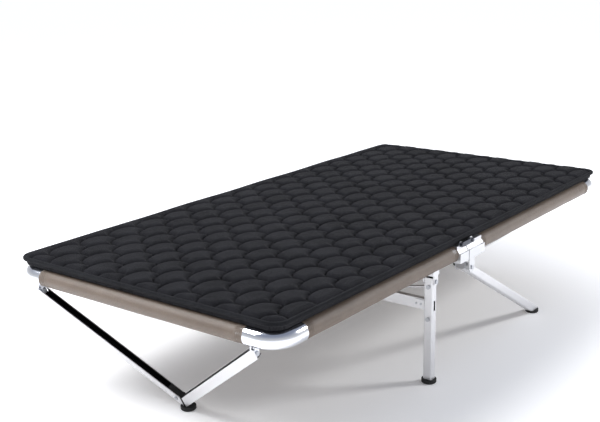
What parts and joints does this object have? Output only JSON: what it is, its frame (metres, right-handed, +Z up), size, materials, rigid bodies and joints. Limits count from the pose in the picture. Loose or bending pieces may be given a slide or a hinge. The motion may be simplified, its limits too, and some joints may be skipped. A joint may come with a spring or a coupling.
{
  "type": "folding cot",
  "caption": "Wide folding cot with a fabric-sleeved aluminium rail frame, quilted pad, V-shaped end legs, upright centre legs and splayed side legs.",
  "frame": {"origin": "on the floor under the middle of the bed", "axes": "+X along the bed towards the far half, +Y across it, +Z up"},
  "size_m": [1.9246, 0.976, 0.415],
  "materials": {
    "quilted_pad": "black quilted microfibre with a bound edge",
    "rail_sleeve": "taupe woven polyester",
    "deck_fabric": "taupe woven polyester",
    "rail_tube": "drawn tube",
    "cast_corner": "polished casting",
    "hinge_casting": "satin casting",
    "leg_aluminium": "satin anodised",
    "hinge_steel": "dark plated steel",
    "fastener_steel": "zinc plated steel",
    "rubber": "black moulded rubber"
  },
  "bodies": {
    "centre_legs": {"centre_crossbar": "leg_aluminium", "centre_left_foot": "rubber", "centre_left_leg": "leg_aluminium", "centre_leg_bolts": "fastener_steel", "centre_right_foot": "rubber", "centre_right_leg": "leg_aluminium", "corner_struts": "leg_aluminium", "crossbar_rivets": "fastener_steel", "crossbar_tabs": "leg_aluminium", "strut_clips": "hinge_steel"},
    "near_half": {"centre_lugs": "leg_aluminium", "centre_pivot_pins": "fastener_steel", "near_deck": "deck_fabric", "near_end_rail": "rail_tube", "near_end_sleeve": "rail_sleeve", "near_hinge_pins": "hinge_steel", "near_left_elbow": "cast_corner", "near_left_hinge_block": "hinge_casting", "near_left_rail": "rail_tube", "near_left_sleeve": "rail_sleeve", "near_pad": "quilted_pad", "near_right_elbow": "cast_corner", "near_right_hinge_block": "hinge_casting", "near_right_rail": "rail_tube", "near_right_sleeve": "rail_sleeve", "near_v_pivot_pins": "fastener_steel"},
    "far_half": {"far_deck": "deck_fabric", "far_end_rail": "rail_tube", "far_end_sleeve": "rail_sleeve", "far_hinge_pins": "hinge_steel", "far_left_elbow": "cast_corner", "far_left_hinge_block": "hinge_casting", "far_left_rail": "rail_tube", "far_left_sleeve": "rail_sleeve", "far_pad": "quilted_pad", "far_right_elbow": "cast_corner", "far_right_hinge_block": "hinge_casting", "far_right_rail": "rail_tube", "far_right_sleeve": "rail_sleeve", "far_v_pivot_pins": "fastener_steel", "side_leg_pins": "fastener_steel"},
    "far_v_leg": {"far_v_bolt": "fastener_steel", "far_v_foot": "rubber", "far_v_foot_block": "rubber", "far_v_left_arm": "leg_aluminium", "far_v_right_arm": "leg_aluminium"},
    "hinge_links": {"left_hinge_link": "hinge_steel", "right_hinge_link": "hinge_steel"},
    "left_splay_leg": {"left_side_foot": "rubber", "left_side_leg": "leg_aluminium"},
    "near_v_leg": {"near_v_bolt": "fastener_steel", "near_v_foot": "rubber", "near_v_foot_block": "rubber", "near_v_left_arm": "leg_aluminium", "near_v_right_arm": "leg_aluminium"},
    "right_splay_leg": {"right_side_foot": "rubber", "right_side_leg": "leg_aluminium"}
  },
  "joints": [
    {"name": "near_fold", "type": "hinge", "parent": "near_half", "child": "hinge_links", "pos_m": [-0.098, 0, 0.386], "axis": [0, -1, 0], "range_deg": [0, 90]},
    {"name": "far_fold", "type": "hinge", "parent": "hinge_links", "child": "far_half", "pos_m": [-0.036, 0, 0.386], "axis": [0, -1, 0], "range_deg": [0, 90]},
    {"name": "near_v_leg_fold", "type": "hinge", "parent": "near_half", "child": "near_v_leg", "pos_m": [-0.9375, 0, 0.318], "axis": [0, -1, 0], "range_deg": [0, 60]},
    {"name": "far_v_leg_fold", "type": "hinge", "parent": "far_half", "child": "far_v_leg", "pos_m": [0.9375, 0, 0.318], "axis": [0, 1, 0], "range_deg": [0, 60]},
    {"name": "centre_legs_fold", "type": "hinge", "parent": "near_half", "child": "centre_legs", "pos_m": [-0.24, 0, 0.312], "axis": [0, 1, 0], "range_deg": [0, 88]},
    {"name": "right_splay_leg_fold", "type": "hinge", "parent": "far_half", "child": "right_splay_leg", "pos_m": [-0.048, -0.455, 0.306], "axis": [0, -1, 0], "range_deg": [0, 29]},
    {"name": "left_splay_leg_fold", "type": "hinge", "parent": "far_half", "child": "left_splay_leg", "pos_m": [-0.048, 0.455, 0.306], "axis": [0, -1, 0], "range_deg": [0, 29]}
  ]
}
